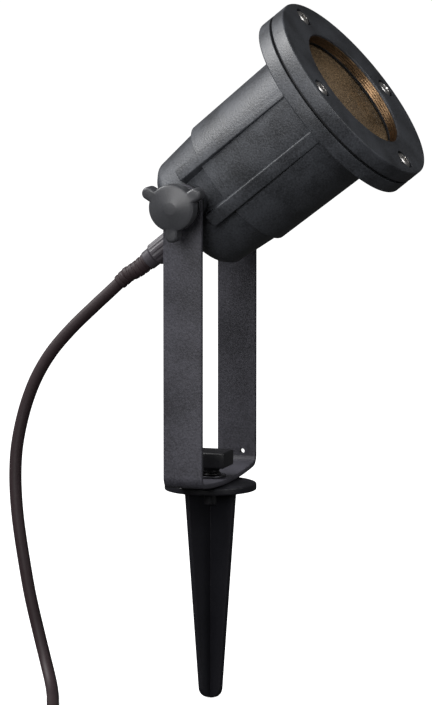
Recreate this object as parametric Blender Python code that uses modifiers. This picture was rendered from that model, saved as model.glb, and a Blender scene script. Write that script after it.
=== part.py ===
"""Ground-spike spotlight: spike, swivelling U-bracket, tilting lamp head, clamp knobs and lead.

Frame: +Z up, origin at the underside of the spike collar (soil line), the head's tilt axis
runs along Y, the head points towards +X and up. Lengths are metres.
"""

import math

import bmesh
import bpy
from mathutils import Vector

# ---- driving dimensions -------------------------------------------------------------------
TILT = math.radians(39.0)            # optical axis above the horizontal
PIVOT_Z = 0.1465                     # tilt axis above the soil line
FRONT = 0.093                        # front face ahead of the tilt axis
AXIS_DROP = 0.0035                   # optical axis below the tilt axis
GLAND_DROP = 0.0056                  # lead entry below the tilt axis
GAP = 0.0003                         # clearance between touching pieces

FLANGE_R = 0.0525
BEZEL_T = 0.0076
APERTURE_R = 0.033
REBATE_R = 0.0372
REBATE_U = 0.0062
FLANGE_U = 0.0089                    # front of the housing flange
FLANGE_BACK_U = 0.0163
STEP_U = 0.0772                      # step between the wide and narrow barrel
SEAT_U = 0.079                       # step inside that seats the lamp holder's strap
REAR_U = 0.108                       # rear plane of the housing
CAVITY_U = 0.100                     # inside of the rear wall
GLAND_U = 0.105                      # reference plane of the lead entry
BARREL_FRONT_R = 0.0368
BARREL_STEP_R = 0.0350
REAR_STEP_R = 0.0332
REAR_END_R = 0.0306
BORE_R = 0.031
REAR_BORE_R = 0.0288

LAMP_PIN_Y = 0.005
WIRE_Y = 0.0055
WIRE_R = 0.0009

SCREW_CIRCLE_R = 0.044
SCREW_CLOCKING = math.radians(-6.2)  # bezel screws clocked off the tilt axis
SCREW_HEAD_R = 0.0043
SCREW_SHANK_R = 0.0019
COUNTERBORE_R = 0.0052
COUNTERBORE_T = 0.0024

RIB_W = 0.007
RIB_FOOT_R = 0.0312
RIB_R = 0.0373
RIB_END_U = 0.090
RIB_SPREAD = math.radians(22.5)

STRIP_W = 0.020
STRIP_T = 0.0025
ARM_Y = 0.0435                       # arm mid-plane from the centre
BASE_Z = 0.0026                      # underside of the bracket at its middle
BASE_RISE = 0.0024                   # how far the dished base climbs towards the bends
BASE_HALF = 0.039
BEND_R = 0.0045
ARM_HOLE_R = 0.0044
EARTH_HOLE = (-0.0031, -0.1340)      # small hole low in the far arm, from the tilt axis

COLLAR_R = 0.023
COLLAR_T = 0.0023
FIN_TOP_HALF = 0.0171
FIN_LOW_HALF = 0.0075
FIN_LOW_Z = -0.1008
TIP_Z = -0.1068
FIN_T = 0.0026
SPIKE_TURN = math.radians(-27.0)     # fins clocked off the bracket
CORE_R = 0.0055
CORE_Z = -0.0084

BOSS_R = 0.009
STUD_R = 0.004
KNOB_R = 0.0116
LOBE_R = 0.0032
LOBE_REACH = 0.0138

CORD_R = 0.00315
FLOOR_Z = TIP_Z
COIL_X = -0.135
COIL_Y = -0.077
COIL_R = 0.034
COIL_HALF_W = 0.0095
COIL_H = 0.0252
TIE_TURN = math.radians(70)          # where the tie sits round the coil
PLUG_R = 0.0185
PLUG_X = COIL_X - COIL_R - 2 * CORD_R
PLUG_Y = -0.044                      # where the lead enters the plug

ROUND = 40
MEDIUM = 24
SMALL = 14
TINY = 10

GRAPHITE = (0.052, 0.055, 0.060)
STEEL = (0.62, 0.62, 0.60)


# ---- scene and shared helpers ---------------------------------------------------------------
def clear_scene():
    for old in list(bpy.data.objects):
        bpy.data.objects.remove(old, do_unlink=True)


def new_collection(name):
    collection = bpy.data.collections.new(name)
    bpy.context.scene.collection.children.link(collection)
    return collection


def link(obj, collection, parent, location, rotation):
    collection.objects.link(obj)
    obj.parent = parent
    obj.location = location
    obj.rotation_euler = rotation
    if collection is CUTTERS:
        obj.hide_render = True
        obj.display_type = 'WIRE'
    return obj


def new_empty(name, parent=None, location=(0, 0, 0), rotation=(0, 0, 0)):
    return link(bpy.data.objects.new(name, None), PARTS, parent, location, rotation)


def finish(obj, color, metallic=0.0, roughness=0.5):
    material = bpy.data.materials.new("mat_" + obj.name)
    material.use_nodes = True
    shader = material.node_tree.nodes["Principled BSDF"]
    shader.inputs["Base Color"].default_value = (*color, 1.0)
    shader.inputs["Metallic"].default_value = metallic
    shader.inputs["Roughness"].default_value = roughness
    obj.data.materials.append(material)
    return obj


def lathe(name, profile, steps, place, ring=True, collection=None):
    """Turn (radius, height) pairs, listed down the outer side, about the local Z axis."""
    mesh = bpy.data.meshes.new(name)
    count = len(profile)
    edges = [(i, i + 1) for i in range(count - 1)]
    if ring:
        edges.append((count - 1, 0))
    mesh.from_pydata([(r, 0.0, z) for r, z in profile], edges, [])
    obj = link(bpy.data.objects.new(name, mesh), collection or PARTS, *place)
    screw = obj.modifiers.new("turn", 'SCREW')
    screw.axis = 'Z'
    screw.steps = steps
    screw.render_steps = steps
    screw.use_merge_vertices = True
    screw.merge_threshold = 0.00001
    screw.use_smooth_shade = True
    return obj


def prism(name, outline, low, high, place, collection=None):
    """Extrude an (x, y) outline from height low to height high along local Z."""
    mesh = bpy.data.meshes.new(name)
    bm = bmesh.new()
    face = bm.faces.new([bm.verts.new((x, y, low)) for x, y in outline])
    made = bmesh.ops.extrude_face_region(bm, geom=[face])
    top = [v for v in made["geom"] if isinstance(v, bmesh.types.BMVert)]
    bmesh.ops.translate(bm, verts=top, vec=(0, 0, high - low))
    bmesh.ops.recalc_face_normals(bm, faces=bm.faces)
    bm.to_mesh(mesh)
    bm.free()
    return link(bpy.data.objects.new(name, mesh), collection or PARTS, *place)


def combine(target, tool, operation):
    boolean = target.modifiers.new(operation.lower(), 'BOOLEAN')
    boolean.operation = operation
    boolean.solver = 'EXACT'
    boolean.object = tool


def soften(obj, width, segments=2, angle=40.0):
    bevel = obj.modifiers.new("soften", 'BEVEL')
    bevel.width = width
    bevel.segments = segments
    bevel.limit_method = 'ANGLE'
    bevel.angle_limit = math.radians(angle)


def tube(name, points, radius, place, resolution=2, collection=None):
    curve = bpy.data.curves.new(name, 'CURVE')
    curve.dimensions = '3D'
    curve.bevel_depth = radius
    curve.bevel_resolution = resolution
    curve.use_fill_caps = True
    spline = curve.splines.new('POLY')
    spline.points.add(len(points) - 1)
    for point, where in zip(spline.points, points):
        point.co = (*where, 1.0)
    return link(bpy.data.objects.new(name, curve), collection or PARTS, *place)


def smooth_path(stops, count):
    """Evenly spaced points on a smooth curve through the stops."""
    stops = [Vector(s) for s in stops]
    fine = []
    per_span = 24
    for i in range(len(stops) - 1):
        before = stops[max(i - 1, 0)]
        start, end = stops[i], stops[i + 1]
        after = stops[min(i + 2, len(stops) - 1)]
        for k in range(per_span):
            t = k / per_span
            fine.append(0.5 * (2 * start + (end - before) * t
                               + (2 * before - 5 * start + 4 * end - after) * t ** 2
                               + (3 * start - before - 3 * end + after) * t ** 3))
    fine.append(stops[-1])
    travelled = [0.0]
    for a, b in zip(fine, fine[1:]):
        travelled.append(travelled[-1] + (b - a).length)
    even = []
    j = 0
    for k in range(count):
        want = travelled[-1] * k / (count - 1)
        while j < len(fine) - 2 and travelled[j + 1] < want:
            j += 1
        share = (want - travelled[j]) / (travelled[j + 1] - travelled[j])
        even.append(fine[j].lerp(fine[j + 1], share))
    return even


def sleeve(name, points, start_r, end_r, bore_r, sides, place):
    """A hollow tapering tube lofted along points that lie in the local XZ plane."""
    mesh = bpy.data.meshes.new(name)
    bm = bmesh.new()
    outside, inside = [], []
    turns = [2 * math.pi * k / sides for k in range(sides)]
    side = Vector((0, 1, 0))
    last = len(points) - 1
    for i, point in enumerate(points):
        along = (points[min(i + 1, last)] - points[max(i - 1, 0)]).normalized()
        up = along.cross(side)
        outer_r = start_r + (end_r - start_r) * i / last
        for radius, rings in ((outer_r, outside), (bore_r, inside)):
            rings.append([bm.verts.new(point + radius * (side * math.cos(t) + up * math.sin(t)))
                          for t in turns])
    for k in range(sides):
        n = (k + 1) % sides
        for rings in (outside, inside):
            for a, b in zip(rings, rings[1:]):
                bm.faces.new((a[k], a[n], b[n], b[k]))
        for end in (0, -1):
            outer, inner = outside[end], inside[end]
            bm.faces.new((outer[k], outer[n], inner[n], inner[k]))
    bmesh.ops.recalc_face_normals(bm, faces=bm.faces)
    bm.to_mesh(mesh)
    bm.free()
    return link(bpy.data.objects.new(name, mesh), PARTS, *place)


def circle(radius, steps, x=0.0, y=0.0):
    turns = [2 * math.pi * k / steps for k in range(steps)]
    return [(x + radius * math.cos(t), y + radius * math.sin(t)) for t in turns]


def box(half_x, half_y, x=0.0, y=0.0):
    return [(x - half_x, y - half_y), (x + half_x, y - half_y),
            (x + half_x, y + half_y), (x - half_x, y + half_y)]


def hole(target, radius, low, high, place, steps=TINY, x=0.0, y=0.0):
    count = len(CUTTERS.objects)
    tool = prism(f"cut_{target.name}_{count}", circle(radius, steps, x, y), low, high, place, CUTTERS)
    combine(target, tool, 'DIFFERENCE')


def at(parent, location=(0, 0, 0), rotation=(0, 0, 0)):
    return parent, location, rotation


# ---- spike and bracket ----------------------------------------------------------------------
def fin_outline():
    right = [(FIN_TOP_HALF, COLLAR_T / 2), (FIN_LOW_HALF, FIN_LOW_Z),
             (FIN_LOW_HALF * 0.80, FIN_LOW_Z - 0.0028), (FIN_LOW_HALF * 0.42, TIP_Z + 0.0007),
             (FIN_LOW_HALF * 0.14, TIP_Z)]
    return right + [(-x, z) for x, z in reversed(right)]


def build_spike():
    rim = 0.0007
    collar = [(COLLAR_R - rim, COLLAR_T), (COLLAR_R, COLLAR_T - rim), (COLLAR_R, rim),
              (COLLAR_R - rim, 0.0), (0.0, 0.0)]
    spike = lathe("ground_spike", [(0.0, COLLAR_T)] + collar, ROUND, at(None), ring=False)
    for index in range(2):
        turn = SPIKE_TURN + index * math.pi / 2
        fin = prism(f"join_fin_{index}", fin_outline(), -FIN_T / 2, FIN_T / 2,
                    at(None, (0, 0, index * 0.0003), (math.pi / 2, 0, turn)), CUTTERS)
        combine(spike, fin, 'UNION')
    core = prism("join_core", circle(CORE_R, TINY), CORE_Z, rim / 2, at(None), CUTTERS)
    combine(spike, core, 'UNION')
    hole(spike, 0.0027, CORE_Z + 0.001, COLLAR_T + 0.001, at(None))
    finish(spike, (0.030, 0.031, 0.034), roughness=0.55)


def strip_path():
    """Mid-line of the bent strip in (y, z), from one arm's top, under the base, to the other."""
    half_t = STRIP_T / 2
    rise_top = BASE_Z + half_t + BASE_RISE
    bend = [(BASE_HALF + BEND_R * math.sin(a), rise_top + BEND_R * (1 - math.cos(a)))
            for a in [math.radians(d) for d in (0, 22, 45, 68, 90)]]
    base = [(BASE_HALF * k / 5, BASE_Z + half_t + BASE_RISE * (k / 5) ** 2) for k in range(5)]
    side = base + bend + [(ARM_Y, PIVOT_Z + STRIP_W / 2 + 0.002)]
    return [(-y, z) for y, z in reversed(side[1:])] + side


def strip_outline():
    path = [Vector(p) for p in strip_path()]
    upper, lower = [], []
    for i, point in enumerate(path):
        along = (path[min(i + 1, len(path) - 1)] - path[max(i - 1, 0)]).normalized()
        normal = Vector((-along.y, along.x)) * STRIP_T / 2
        upper.append(point + normal)
        lower.append(point - normal)
    return [tuple(p) for p in lower + upper[::-1]]


def arm_window():
    """Front view of the arm: straight sides with a half-round top."""
    half = STRIP_W / 2
    top = [(half * math.cos(a), PIVOT_Z + half * math.sin(a))
           for a in [math.pi * k / 16 for k in range(17)]]
    return [(-half, -0.002), (half, -0.002)] + top


def build_bracket(near_frame, far_frame):
    across = (math.pi / 2, 0, math.pi / 2)
    bracket = prism("u_bracket", strip_outline(), -STRIP_W, STRIP_W, at(None, (0, 0, 0), across))
    window = prism("keep_arm_shape", arm_window(), -0.06, 0.06,
                   at(None, (0, 0, 0), (math.pi / 2, 0, 0)), CUTTERS)
    combine(bracket, window, 'INTERSECT')
    for frame in (near_frame, far_frame):
        hole(bracket, ARM_HOLE_R, 0.035, 0.055, at(frame), SMALL)
    hole(bracket, 0.0029, -0.002, 0.012, at(None))
    hole(bracket, 0.0012, 0.035, 0.055, at(far_frame), TINY, *EARTH_HOLE)
    finish(bracket, GRAPHITE, 0.2, 0.5)


def build_clamp():
    washer_low = BASE_Z + STRIP_T + GAP
    washer_high = washer_low + 0.001
    washer = lathe("clamp_washer", [(0.0078, washer_high), (0.0078, washer_low),
                                    (0.0028, washer_low), (0.0028, washer_high)], MEDIUM, at(None))
    finish(washer, STEEL, 1.0, 0.35)
    low = washer_high + GAP
    block_low, block_high = 0.0106, 0.0186
    end = -0.0070
    stem = [(0.0, block_low + 0.0015), (0.0062, block_low + 0.0015), (0.0062, block_low),
            (0.0042, block_low - 0.0021), (0.0056, low), (0.0024, low), (0.0024, end), (0.0, end)]
    screw = lathe("clamp_screw", stem, SMALL, at(None), ring=False)
    block = prism("join_clamp_block", box(0.0096, 0.0083), block_low, block_high, at(None), CUTTERS)
    soften(block, 0.0009)
    combine(screw, block, 'UNION')
    finish(screw, (0.035, 0.035, 0.038), roughness=0.5)


# ---- lamp head ------------------------------------------------------------------------------
def build_housing(optic, near_frame, far_frame):
    ledge_u = FLANGE_U + 0.0017
    inside = [
        (0.0, -CAVITY_U), (0.0240, -CAVITY_U), (0.0272, -CAVITY_U + 0.0035), (REAR_BORE_R, -SEAT_U),
        (BORE_R, -SEAT_U), (BORE_R, -ledge_u), (REBATE_R, -ledge_u), (REBATE_R, -FLANGE_U),
    ]
    outside = [
        (FLANGE_R, -FLANGE_U), (FLANGE_R, -FLANGE_BACK_U + 0.0006),
        (FLANGE_R - 0.0006, -FLANGE_BACK_U), (BARREL_FRONT_R + 0.0018, -FLANGE_BACK_U),
        (BARREL_FRONT_R + 0.0004, -FLANGE_BACK_U - 0.0006), (BARREL_FRONT_R, -FLANGE_BACK_U - 0.002),
        (BARREL_STEP_R, -STEP_U), (REAR_STEP_R, -STEP_U),
        (REAR_END_R, -REAR_U + 0.0080), (REAR_END_R - 0.0012, -REAR_U + 0.0038),
        (REAR_END_R - 0.0040, -REAR_U + 0.0009), (REAR_END_R - 0.0080, -REAR_U),
        (0.0, -REAR_U),
    ]
    housing = lathe("housing", inside + outside, ROUND, at(optic), ring=False)
    add_ribs(housing, optic)
    for frame in (near_frame, far_frame):
        boss = prism(f"join_boss_{frame.name}", circle(BOSS_R, MEDIUM), 0.0302, 0.0395, at(frame), CUTTERS)
        combine(housing, boss, 'UNION')
        hole(housing, STUD_R + GAP, 0.0320, 0.0420, at(frame), SMALL)
    gland_spot = at(optic, (GLAND_DROP - AXIS_DROP, 0, 0))
    hole(housing, 0.0052, -REAR_U - 0.002, -CAVITY_U + 0.002, gland_spot, SMALL)
    for x, y in screw_spots():
        hole(housing, 0.0021, -0.0147, -FLANGE_U + 0.001, at(optic), TINY, x, y)
    finish(housing, GRAPHITE, 0.2, 0.5)


def add_ribs(housing, optic):
    """Four flat-topped bars along the barrel, two either side of each pivot boss."""
    lean = math.atan2(AXIS_DROP, BARREL_STEP_R)
    section = box((RIB_R - RIB_FOOT_R) / 2, RIB_W / 2, (RIB_R + RIB_FOOT_R) / 2)
    for side in (-1, 1):
        for spread in (-RIB_SPREAD, RIB_SPREAD):
            turn = side * (math.pi / 2 + lean) + spread
            name = f"join_rib_{len(CUTTERS.objects)}"
            place = at(optic, (0, 0, 0), (0, 0, turn))
            rib = prism(name, section, -RIB_END_U, -FLANGE_BACK_U + 0.0012, place, CUTTERS)
            soften(rib, 0.0009)
            combine(housing, rib, 'UNION')


def screw_spots():
    return circle_points(SCREW_CIRCLE_R, 4, SCREW_CLOCKING)


def circle_points(radius, count, start):
    turns = [start + 2 * math.pi * k / count for k in range(count)]
    return [(radius * math.cos(t), radius * math.sin(t)) for t in turns]


def build_bezel(optic):
    edge = 0.0007
    outline = [(FLANGE_R - edge, 0.0), (FLANGE_R, -edge), (FLANGE_R, -BEZEL_T), (REBATE_R, -BEZEL_T),
               (REBATE_R, -REBATE_U), (APERTURE_R, -REBATE_U), (APERTURE_R, -0.0004),
               (APERTURE_R + 0.0004, 0.0)]
    bezel = lathe("front_bezel", outline, ROUND, at(optic))
    for x, y in screw_spots():
        hole(bezel, COUNTERBORE_R, -COUNTERBORE_T, 0.001, at(optic), SMALL, x, y)
        hole(bezel, 0.0023, -BEZEL_T - 0.001, -COUNTERBORE_T + 0.0005, at(optic), TINY, x, y)
    finish(bezel, GRAPHITE, 0.2, 0.5)
    gasket_u = BEZEL_T + 0.00025
    ring = flat_ring(FLANGE_R - 0.0008, REBATE_R + 0.0007, gasket_u, gasket_u + 0.0008)
    gasket = lathe("flange_gasket", ring, ROUND, at(optic))
    for x, y in screw_spots():
        hole(gasket, 0.0026, -0.010, -0.007, at(optic), TINY, x, y)
    finish(gasket, (0.010, 0.010, 0.010), roughness=0.8)


def flat_ring(outer, inner, front_u, back_u):
    return [(outer, -front_u), (outer, -back_u), (inner, -back_u), (inner, -front_u)]


def build_glass(optic):
    ring = flat_ring(REBATE_R - 0.0004, APERTURE_R + 0.0003, REBATE_U + 0.00025, REBATE_U + 0.00085)
    seal = lathe("glass_gasket", ring, MEDIUM, at(optic))
    finish(seal, (0.010, 0.010, 0.010), roughness=0.8)
    front, back, radius = 0.0073, 0.0103, REBATE_R - 0.0005
    pane = [(0.0, -front), (radius - 0.0004, -front), (radius, -front - 0.0004), (radius, -back),
            (0.0, -back)]
    glass = lathe("lens_glass", pane, ROUND, at(optic), ring=False)
    finish(glass, (0.80, 0.78, 0.74), roughness=0.05)


def build_bezel_screws(optic):
    for index, (x, y) in enumerate(screw_spots()):
        seat = -COUNTERBORE_T + GAP
        head = [(0.0, seat + 0.0024), (0.0022, seat + 0.0022), (0.0036, seat + 0.0016),
                (SCREW_HEAD_R, seat + 0.0007), (SCREW_HEAD_R, seat), (SCREW_SHANK_R, seat),
                (SCREW_SHANK_R, -0.0140), (0.0, -0.0143)]
        place = at(optic, (x, y, 0), (0, 0, 0.5 + index))
        screw = lathe(f"bezel_screw_{index + 1}", head, TINY, place, ring=False)
        recess = prism(f"cut_cross_{index + 1}", cross_outline(0.0023, 0.00055), seat + 0.0009,
                       seat + 0.004, place, CUTTERS)
        combine(screw, recess, 'DIFFERENCE')
        finish(screw, STEEL, 1.0, 0.3)


def cross_outline(wide, thin):
    arm = [(wide, -thin), (wide, thin), (thin, thin)]
    quarters = [(1, 0), (0, 1), (-1, 0), (0, -1)]
    return [(c * x - s * y, s * x + c * y) for c, s in quarters for x, y in arm]


def build_lamp(optic):
    cone = [(0.0307, -0.0112), (0.0307, -0.0130), (0.0270, -0.0196), (0.0262, -0.0196),
            (0.0298, -0.0126), (0.0298, -0.0112)]
    finish(lathe("reflector_cone", cone, ROUND, at(optic)), (0.55, 0.42, 0.28), 0.9, 0.35)
    shell = [(0.0250, -0.0203), (0.0250, -0.0230), (0.0225, -0.0320), (0.0185, -0.0400),
             (0.0130, -0.0457), (0.0118, -0.0480), (0.0098, -0.0480), (0.0116, -0.0445),
             (0.0168, -0.0385), (0.0208, -0.0310), (0.0232, -0.0236), (0.0236, -0.0203)]
    finish(lathe("lamp_shell", shell, MEDIUM, at(optic)), (0.75, 0.72, 0.66), 0.9, 0.2)
    front = [(0.0, -0.0208), (0.0205, -0.0210), (0.0229, -0.0218), (0.0229, -0.0232), (0.0, -0.0232)]
    finish(lathe("lamp_front", front, MEDIUM, at(optic), ring=False), (0.75, 0.72, 0.66), roughness=0.1)
    base = [(0.0, -0.0483), (0.0116, -0.0483), (0.0123, -0.0490), (0.0123, -0.0612),
            (0.0115, -0.0620), (0.0, -0.0620)]
    finish(lathe("lamp_base", base, SMALL, at(optic), ring=False), (0.72, 0.70, 0.66), roughness=0.4)
    for index, y in enumerate((-LAMP_PIN_Y, LAMP_PIN_Y)):
        pin = [(0.0, -0.0623), (0.0013, -0.0623), (0.0013, -0.0668), (0.0024, -0.0670),
               (0.0024, -0.0690), (0.0, -0.0692)]
        place = at(optic, (0, y, 0))
        finish(lathe(f"lamp_pin_{index + 1}", pin, TINY, place, ring=False), STEEL, 1.0, 0.3)


def build_holder(optic):
    body = [(0.0, -0.0626), (0.0130, -0.0626), (0.0137, -0.0634), (0.0137, -0.0764),
            (0.0130, -0.0771), (0.0, -0.0771)]
    holder = lathe("lamp_holder", body, SMALL, at(optic), ring=False)
    for y in (-LAMP_PIN_Y, LAMP_PIN_Y):
        hole(holder, 0.0028, -0.0696, -0.060, at(optic), TINY, 0.0, y)
    spots = (-0.0090, 0.0090)
    for x in spots:
        hole(holder, 0.0016, -0.080, -0.0715, at(optic), TINY, x, 0.0)
    finish(holder, (0.70, 0.68, 0.62), roughness=0.5)
    strap = prism("holder_strap", box(0.0290, 0.0095), -0.0787, -0.0775, at(optic))
    for x in spots:
        hole(strap, 0.0016, -0.080, -0.076, at(optic), TINY, x, 0.0)
    for y in (-WIRE_Y, WIRE_Y):
        hole(strap, 0.0014, -0.080, -0.076, at(optic), TINY, 0.0, y)
    finish(strap, (0.58, 0.58, 0.56), 1.0, 0.4)
    for index, x in enumerate(spots):
        outline = [(0.0, -0.0722), (0.0013, -0.0722), (0.0013, -0.0790), (0.0026, -0.0790),
                   (0.0026, -0.0800), (0.0018, -0.0806), (0.0, -0.0807)]
        screw = lathe(f"holder_screw_{index + 1}", outline, TINY, at(optic, (x, 0, 0)), ring=False)
        finish(screw, STEEL, 1.0, 0.3)


def conductor_routes():
    """Stops of each wire in the optical frame: out of the lead's end, then to its clamp."""
    start, straight = -0.0944, -0.0936
    entry = GLAND_DROP - AXIS_DROP
    routes = {"lead_earth": [(entry + 0.0018, 0.0, start), (entry + 0.0019, 0.0, straight),
                             (0.0080, 0.0, -0.0922), (0.0155, 0.0040, -0.0930),
                             (0.0183, 0.0080, -0.0955), (0.0185, 0.0085, -0.0984)]}
    for name, side in (("lead_live", -1), ("lead_neutral", 1)):
        lane = side * WIRE_Y
        routes[name] = [(entry - 0.0010, side * 0.0017, start), (entry - 0.0011, side * 0.0018, straight),
                        (-0.0030, side * 0.0038, -0.0925), (-0.0090, lane, -0.0930),
                        (-0.0116, lane, -0.0920), (-0.0120, lane, -0.0905)]
    for name, side in (("lamp_lead_1", -1), ("lamp_lead_2", 1)):
        lane = side * WIRE_Y
        routes[name] = [(-0.0120, lane, -0.0814), (-0.0119, lane, -0.0808), (-0.0105, lane, -0.0803),
                        (-0.0030, lane, -0.0803), (-0.0006, lane, -0.0796), (0.0, lane, -0.0785),
                        (0.0, lane, -0.0774)]
    return routes


def build_wiring(optic):
    block = prism("terminal_block", box(0.0050, 0.0100, -0.012, 0.0), -0.0900, -0.0820, at(optic))
    soften(block, 0.0008)
    finish(block, (0.62, 0.60, 0.55), roughness=0.5)
    colors = {"lead_live": (0.20, 0.07, 0.03), "lead_neutral": (0.03, 0.10, 0.45),
              "lead_earth": (0.20, 0.45, 0.05)}
    for name, stops in conductor_routes().items():
        wire = tube(name, smooth_path(stops, 12), WIRE_R, at(optic), 1)
        finish(wire, colors.get(name, (0.75, 0.73, 0.68)), roughness=0.5)
    screw = [(0.0, -0.0973), (0.0022, -0.0973), (0.0022, -0.0982), (0.0, -0.0982)]
    place = at(optic, (0.0185, 0.0085, -0.0014))
    finish(lathe("earth_screw", screw, TINY, place, ring=False), (0.55, 0.42, 0.20), 1.0, 0.35)


# ---- lead entry, lead and plug ----------------------------------------------------------------
def hexagon(radius):
    return [(radius * math.cos(math.pi * k / 3), radius * math.sin(math.pi * k / 3)) for k in range(6)]


def build_gland(gland):
    """Pieces sit along the gland frame, whose -Z leaves the housing along the lead."""
    bore = CORD_R + 0.0003
    stem = [(0.0049, 0.0088), (0.0049, -0.0040), (0.0059, -0.0060), (0.0059, -0.0147), (bore, -0.0147),
            (bore, 0.0088)]
    body = lathe("gland_body", stem, SMALL, at(gland))
    rear = GLAND_U - REAR_U
    flange = prism("join_gland_flange", hexagon(0.0085), rear - 0.0043, rear - GAP, at(gland), CUTTERS)
    soften(flange, 0.0005, 1)
    bore_tool = prism("cut_gland_flange", circle(bore, SMALL), rear - 0.006, 0.002, at(gland), CUTTERS)
    combine(flange, bore_tool, 'DIFFERENCE')
    combine(body, flange, 'UNION')
    finish(body, (0.05, 0.045, 0.050), roughness=0.5)
    lock = prism("gland_lock_nut", hexagon(0.0092), 0.0053, 0.0083, at(gland))
    hole(lock, 0.0052, 0.004, 0.010, at(gland), SMALL)
    finish(lock, (0.05, 0.045, 0.050), roughness=0.5)
    nut = [(0.0060, -0.0150), (0.0060, -0.0296), (0.0051, -0.0304), (0.0050, -0.0350),
           (bore, -0.0350), (bore, -0.0330), (0.0044, -0.0330), (0.0044, -0.0150)]
    finish(lathe("gland_nut", nut, SMALL, at(gland)), (0.06, 0.052, 0.058), roughness=0.5)
    seal = [(0.0041, -0.0155), (0.0041, -0.0327), (bore, -0.0327), (bore, -0.0155)]
    finish(lathe("gland_seal", seal, SMALL, at(gland)), (0.02, 0.02, 0.02), roughness=0.8)


def gland_point(depth, drop=0.0):
    """Where the lead entry's axis is at a depth behind its plane, or a drop beside it."""
    forward = Vector((math.cos(TILT), 0, math.sin(TILT)))
    down = Vector((math.sin(TILT), 0, -math.cos(TILT)))
    pivot = Vector((0, 0, PIVOT_Z))
    return pivot + forward * (FRONT - GLAND_U - depth) + down * (GLAND_DROP + drop)


def lead_mouth():
    """End of the sleeve and the way it faces: straight out from the tilt axis.

    Facing that way, the tilting sleeve never meets the hanging lead, whatever the tilt."""
    mouth = Vector((-0.0478, 0, 0.1012))
    return mouth, (mouth - Vector((0, 0, PIVOT_Z))).normalized()


def sleeve_route():
    mouth, outward = lead_mouth()
    return [gland_point(0.0353), gland_point(0.041), mouth - outward * 0.006,
            mouth - outward * 0.004, mouth]


def lead_route():
    """Hand-laid stops: out of the gland, down in an arc, along the ground and round to the coil."""
    hang = [(-0.0605, 0.0, 0.0894), (-0.0730, 0.0, 0.0774), (-0.0836, 0.0, 0.0653),
            (-0.0914, 0.0, 0.0529), (-0.0967, 0.0, 0.0405), (-0.1002, -0.0005, 0.0280),
            (-0.1024, -0.0012, 0.0150), (-0.1029, -0.0020, 0.0020), (-0.1021, -0.0030, -0.0110),
            (-0.1004, -0.0040, -0.0240), (-0.0974, -0.0050, -0.0410), (-0.0938, -0.0058, -0.0590),
            (-0.0893, -0.0066, -0.0765), (-0.0844, -0.0100, -0.0903), (-0.0782, -0.0195, -0.0998)]
    low = FLOOR_Z + CORD_R
    ground = [(-0.0724, -0.0330), (-0.0663, -0.0500), (-0.0595, -0.0690), (-0.0550, -0.0830),
              (-0.0560, -0.0975), (-0.0633, -0.1089), (-0.0737, -0.1154), (-0.0843, -0.1172),
              (-0.0980, -0.1172), (-0.1117, -0.1172)]
    return hang + [(x, y, low) for x, y in ground]


def build_lead():
    sheath = (0.035, 0.028, 0.030)
    mouth, outward = lead_mouth()
    inner = [gland_point(-0.0101), gland_point(0.010), gland_point(0.028)] + sleeve_route()[:-1]
    finish(tube("lead_inner", smooth_path(inner, 16), CORD_R, at(None)), sheath, roughness=0.6)
    outer = [mouth + outward * 0.00035, mouth + outward * 0.0060] + [Vector(p) for p in lead_route()]
    finish(tube("power_cord", smooth_path(outer, 50), CORD_R, at(None)), sheath, roughness=0.6)
    tail = [(PLUG_X, PLUG_Y + y, FLOOR_Z + z)
            for y, z in ((-0.0098, 0.0203), (-0.0066, 0.0192), (-0.0033, 0.0187), (-GAP, PLUG_R))]
    finish(tube("cord_tail", smooth_path(tail, 6), CORD_R, at(None)), sheath, roughness=0.6)
    boot = sleeve("cord_sleeve", smooth_path(sleeve_route(), 7), 0.0045, 0.0038, CORD_R + GAP, SMALL,
                  at(None))
    finish(boot, (0.05, 0.042, 0.046), roughness=0.6)


def build_coil():
    low, high = FLOOR_Z, FLOOR_Z + COIL_H
    outer, inner, cut = COIL_R + COIL_HALF_W, COIL_R - COIL_HALF_W, 0.0028
    ring = [(outer - cut, high), (outer, high - cut), (outer, low + cut), (outer - cut, low),
            (inner + cut, low), (inner, low + cut), (inner, high - cut), (inner + cut, high)]
    coil = lathe("cord_coil", ring, MEDIUM, at(None, (COIL_X, COIL_Y, 0)))
    tie_half, tie_t = 0.003, 0.001
    middle = (COIL_X + COIL_R * math.cos(TIE_TURN), COIL_Y + COIL_R * math.sin(TIE_TURN), (low + high) / 2)
    place = at(None, middle, (math.pi / 2, 0, TIE_TURN))
    half_w, half_h = COIL_HALF_W + 0.0001, COIL_H / 2
    bed_w, bed_h = half_w - tie_t - GAP, half_h - tie_t - GAP
    groove = prism("cut_tie_groove", octagon(half_w + 0.002, half_h + 0.002, cut), -tie_half - GAP,
                   tie_half + GAP, place, CUTTERS)
    bed = prism("cut_tie_bed", octagon(bed_w, bed_h, cut), -tie_half * 2, tie_half * 2, place, CUTTERS)
    combine(groove, bed, 'DIFFERENCE')
    combine(coil, groove, 'DIFFERENCE')
    finish(coil, (0.035, 0.028, 0.030), roughness=0.6)
    tie = prism("cord_tie", octagon(half_w, half_h, cut), -tie_half, tie_half, place)
    inside = prism("cut_tie_inside", octagon(half_w - tie_t, half_h - tie_t, cut), -tie_half * 2,
                   tie_half * 2, place, CUTTERS)
    combine(tie, inside, 'DIFFERENCE')
    finish(tie, (0.02, 0.02, 0.02), roughness=0.5)


def octagon(half_x, half_y, cut):
    right = [(half_x - cut, -half_y), (half_x, -half_y + cut), (half_x, half_y - cut),
             (half_x - cut, half_y)]
    return right + [(-x, -y) for x, y in right]


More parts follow.
